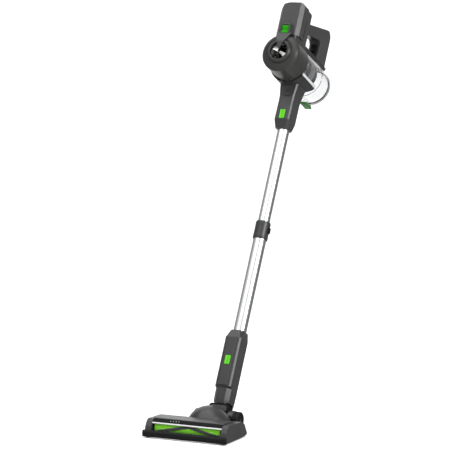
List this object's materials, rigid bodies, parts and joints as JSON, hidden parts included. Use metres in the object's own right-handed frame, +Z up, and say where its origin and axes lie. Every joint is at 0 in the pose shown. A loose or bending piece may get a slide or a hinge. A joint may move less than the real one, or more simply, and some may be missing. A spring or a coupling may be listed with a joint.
{
  "type": "cordless stick vacuum",
  "caption": "Cordless stick vacuum with a drum-shaped motor and clear dust cup, loop handle, telescopic steel wand and a hinged, swivelling floor head with a roller brush.",
  "frame": {"origin": "middle of the box that holds the object, on the floor it stands on", "axes": "+Z up, -Y towards the front of the floor head, +Y towards the user, +X the left side of the vacuum as its user sees it"},
  "size_m": [0.245, 0.9091, 1.1117],
  "materials": {
    "shell": "satin dark grey moulding",
    "black": "matt black",
    "rubber": "soft black",
    "green": "satin bright green",
    "cell_wrap": "shrink wrap",
    "steel": "polished",
    "silver": "satin silver",
    "clear": "clear moulding",
    "filter": "pleated paper",
    "board": "circuit board",
    "bristle": "stiff dark bristles in a strip"
  },
  "bodies": {
    "main_unit": {"motor_housing": "shell", "front_cap": "shell", "exhaust_grille": "black", "hepa_filter": "filter", "suction_motor": "steel", "cyclone_shroud": "black", "mesh_screen": "silver", "pre_filter": "filter", "dust_cup": "clear", "lid_hinge_pin": "steel", "cup_cradle": "shell", "main_frame": "shell", "front_tongue": "shell", "handle_left_shell": "shell", "handle_right_shell": "shell", "grip_insert": "rubber", "control_board": "board", "nozzle_shell": "shell", "nozzle_front_panel": "shell", "upper_tube": "steel"},
    "impeller": {"impeller": "silver"},
    "lid": {"cup_lid": "clear", "lid_seal": "rubber"},
    "cup_latch": {"cup_latch": "green"},
    "battery": {"battery_case": "shell", "battery_cells": "cell_wrap"},
    "battery_latch": {"battery_latch": "green"},
    "trigger": {"trigger": "black"},
    "power_button": {"power_button": "black"},
    "wand_button": {"wand_release_button": "green"},
    "lower_wand": {"lower_tube": "steel", "clamp_collar": "shell", "connector_shell": "shell", "connector_front_panel": "shell"},
    "collar_slider": {"collar_slider": "black"},
    "head_button": {"head_release_button": "green"},
    "neck": {"neck": "shell", "swivel_pin": "steel"},
    "head": {"base_plate": "shell", "top_cover": "shell", "end_cap_left": "shell", "end_cap_right": "shell", "front_bumper": "rubber", "window_bar": "silver", "led_strip": "black", "tilt_axle": "steel", "air_hose": "rubber", "brush_motor": "steel", "drive_belt": "rubber", "brush_bearing_left": "steel", "brush_bearing_right": "steel"},
    "brush": {"brush_core": "green", "bristle_strip_a": "bristle", "bristle_strip_b": "bristle"},
    "motor_pulley": {"motor_pulley": "black"},
    "wheel_left": {"rear_wheel_left": "rubber"},
    "wheel_right": {"rear_wheel_right": "rubber"},
    "roller_left": {"front_roller_left": "rubber"},
    "roller_right": {"front_roller_right": "rubber"}
  },
  "joints": [
    {"name": "cup_lid_hinge", "type": "hinge", "parent": "main_unit", "child": "lid", "pos_m": [0, 0.38992, 0.9163], "axis": [1, 0, 0], "range_deg": [0, 80]},
    {"name": "cup_latch_press", "type": "hinge", "parent": "main_unit", "child": "cup_latch", "pos_m": [0, 0.3138, 0.81816], "axis": [-1, 0, 0], "range_deg": [0, 10], "stiffness_Nm_per_rad": 0.4},
    {"name": "impeller_spin", "type": "hinge", "parent": "main_unit", "child": "impeller", "pos_m": [0, 0.15196, 0.97742], "axis": [0, 0.8805, -0.4741], "continuous": true},
    {"name": "battery_slide", "type": "slide", "parent": "main_unit", "child": "battery", "axis": [0, 0.4741, 0.8805], "range_m": [0, 0.11]},
    {"name": "battery_latch_press", "type": "slide", "parent": "battery", "child": "battery_latch", "axis": [0, 0.8805, -0.4741], "range_m": [0, 0.0018], "stiffness_N_per_m": 600},
    {"name": "trigger_press", "type": "slide", "parent": "main_unit", "child": "trigger", "axis": [0, 0.8805, -0.4741], "range_m": [0, 0.004], "stiffness_N_per_m": 400},
    {"name": "power_button_press", "type": "slide", "parent": "main_unit", "child": "power_button", "axis": [0, -0.185, -0.9827], "range_m": [0, 0.0015], "stiffness_N_per_m": 500},
    {"name": "wand_button_press", "type": "slide", "parent": "main_unit", "child": "wand_button", "axis": [0, 0.8805, -0.4741], "range_m": [0, 0.0015], "stiffness_N_per_m": 600},
    {"name": "wand_extend", "type": "slide", "parent": "main_unit", "child": "lower_wand", "axis": [0, 0.4741, 0.8805], "range_m": [0, 0.23]},
    {"name": "collar_slider_press", "type": "slide", "parent": "lower_wand", "child": "collar_slider", "axis": [0, -0.4741, -0.8805], "range_m": [0, 0.005], "stiffness_N_per_m": 500},
    {"name": "head_button_press", "type": "slide", "parent": "lower_wand", "child": "head_button", "axis": [0, 0.8805, -0.4741], "range_m": [0, 0.0018], "stiffness_N_per_m": 600},
    {"name": "neck_swivel", "type": "hinge", "parent": "lower_wand", "child": "neck", "pos_m": [0, -0.21498, 0.0597], "axis": [0, 0.8805, -0.4741], "range_deg": [-40, 40]},
    {"name": "neck_tilt", "type": "hinge", "parent": "neck", "child": "head", "pos_m": [0, -0.23205, 0.028], "axis": [1, 0, 0], "range_deg": [-28, 50]},
    {"name": "brush_spin", "type": "hinge", "parent": "head", "child": "brush", "pos_m": [0, -0.41505, 0.0235], "axis": [1, 0, 0], "continuous": true},
    {"name": "motor_spin", "type": "hinge", "parent": "head", "child": "motor_pulley", "pos_m": [-0.095, -0.35705, 0.0235], "axis": [1, 0, 0], "continuous": true},
    {"name": "wheel_left_spin", "type": "hinge", "parent": "head", "child": "wheel_left", "pos_m": [0.0585, -0.24605, 0.0235], "axis": [1, 0, 0], "continuous": true},
    {"name": "wheel_right_spin", "type": "hinge", "parent": "head", "child": "wheel_right", "pos_m": [-0.0585, -0.24605, 0.0235], "axis": [1, 0, 0], "continuous": true},
    {"name": "roller_left_spin", "type": "hinge", "parent": "head", "child": "roller_left", "pos_m": [0.111, -0.43605, 0.0062], "axis": [1, 0, 0], "continuous": true},
    {"name": "roller_right_spin", "type": "hinge", "parent": "head", "child": "roller_right", "pos_m": [-0.111, -0.43605, 0.0062], "axis": [1, 0, 0], "continuous": true}
  ],
  "couplings": [
    {"joint": "motor_spin", "follows": "brush_spin", "ratio": 1.5}
  ]
}
